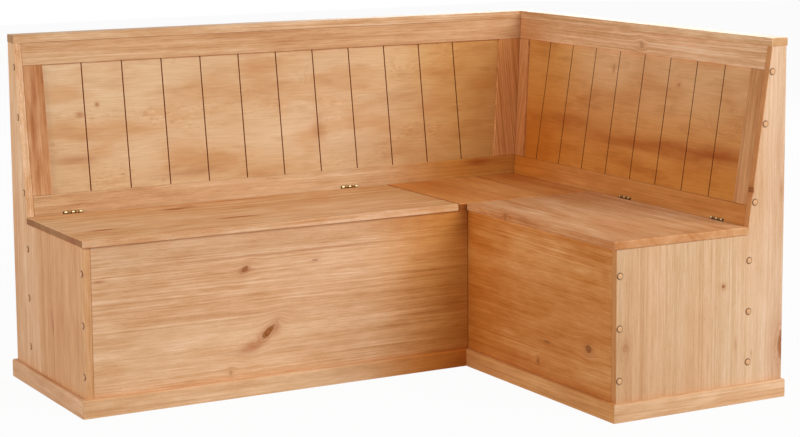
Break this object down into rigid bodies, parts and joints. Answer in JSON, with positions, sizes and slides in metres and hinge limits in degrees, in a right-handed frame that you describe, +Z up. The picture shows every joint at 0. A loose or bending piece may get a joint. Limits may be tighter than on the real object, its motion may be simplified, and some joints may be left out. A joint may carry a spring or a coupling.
{
  "type": "corner storage bench",
  "caption": "L-shaped wooden corner bench with lidded storage chests, a fixed corner seat, raked backs with grooved panels under mitred caps, and a plinth.",
  "frame": {"origin": "on the floor, below the middle of the bench's bounding box", "axes": "+X along the long arm towards the corner, +Y from the front to the back of the long arm, +Z up"},
  "size_m": [1.565, 1.179, 0.88],
  "materials": {
    "end_pine": "waxed pine, vertical grain",
    "front_pine": "waxed pine, horizontal grain, knots",
    "plinth_pine": "waxed pine, grain along the board",
    "seat_pine": "waxed pine, edge-glued staves",
    "cap_pine": "waxed pine, grain along the board",
    "back_frame_pine": "waxed pine, grain along each rail and stile",
    "back_ply": "waxed pine plywood with V-grooves",
    "inner_pine": "bare sawn pine",
    "hinge_brass": "bright lacquered brass",
    "screw_steel": "zinc plated"
  },
  "bodies": {
    "carcass": {"back_corner_screw_high": "screw_steel", "back_corner_screw_low": "screw_steel", "back_corner_screw_middle": "screw_steel", "corner_seat": "seat_pine", "corner_seat_bearer": "inner_pine", "divider_screw_high": "screw_steel", "divider_screw_low": "screw_steel", "divider_screw_middle": "screw_steel", "inner_corner_block": "inner_pine", "left_end_panel": "end_pine", "left_end_plinth": "plinth_pine", "long_back_bottom_rail": "back_frame_pine", "long_back_corner_stile": "back_frame_pine", "long_back_end_stile": "back_frame_pine", "long_back_panel": "back_ply", "long_back_top_rail": "back_frame_pine", "long_bottom_panel": "inner_pine", "long_cap": "cap_pine", "long_front_board": "front_pine", "long_front_cleat": "inner_pine", "long_front_plinth": "plinth_pine", "long_left_hinge_fixed_leaf": "hinge_brass", "long_left_hinge_pin": "hinge_brass", "long_rear_board": "inner_pine", "long_rear_cleat": "inner_pine", "long_right_hinge_fixed_leaf": "hinge_brass", "long_right_hinge_pin": "hinge_brass", "rear_board_screw_high": "screw_steel", "rear_board_screw_low": "screw_steel", "rear_board_screw_middle": "screw_steel", "right_end_panel": "end_pine", "right_end_plinth": "plinth_pine", "short_back_bottom_rail": "back_frame_pine", "short_back_corner_stile": "back_frame_pine", "short_back_end_stile": "back_frame_pine", "short_back_panel": "back_ply", "short_back_top_rail": "back_frame_pine", "short_bottom_panel": "inner_pine", "short_cap": "cap_pine", "short_front_board": "front_pine", "short_front_cleat": "inner_pine", "short_front_plinth": "plinth_pine", "short_lid_bearer": "inner_pine", "short_near_hinge_fixed_leaf": "hinge_brass", "short_near_hinge_pin": "hinge_brass", "short_rear_board": "inner_pine", "short_rear_cleat": "inner_pine", "short_rear_hinge_fixed_leaf": "hinge_brass", "short_rear_hinge_pin": "hinge_brass"},
    "long_lid": {"long_left_hinge_lid_leaf": "hinge_brass", "long_lid": "seat_pine", "long_lid_left_batten": "inner_pine", "long_lid_right_batten": "inner_pine", "long_right_hinge_lid_leaf": "hinge_brass"},
    "short_lid": {"short_lid": "seat_pine", "short_lid_near_batten": "inner_pine", "short_lid_rear_batten": "inner_pine", "short_near_hinge_lid_leaf": "hinge_brass", "short_rear_hinge_lid_leaf": "hinge_brass"}
  },
  "joints": [
    {"name": "long_lid_hinge", "type": "hinge", "parent": "carcass", "child": "long_lid", "pos_m": [-0.25825, 0.47676, 0.4313], "axis": [-1, 0, 0], "range_deg": [0, 99]},
    {"name": "short_lid_hinge", "type": "hinge", "parent": "carcass", "child": "short_lid", "pos_m": [0.66976, -0.247, 0.4313], "axis": [0, 1, 0], "range_deg": [0, 99]}
  ]
}
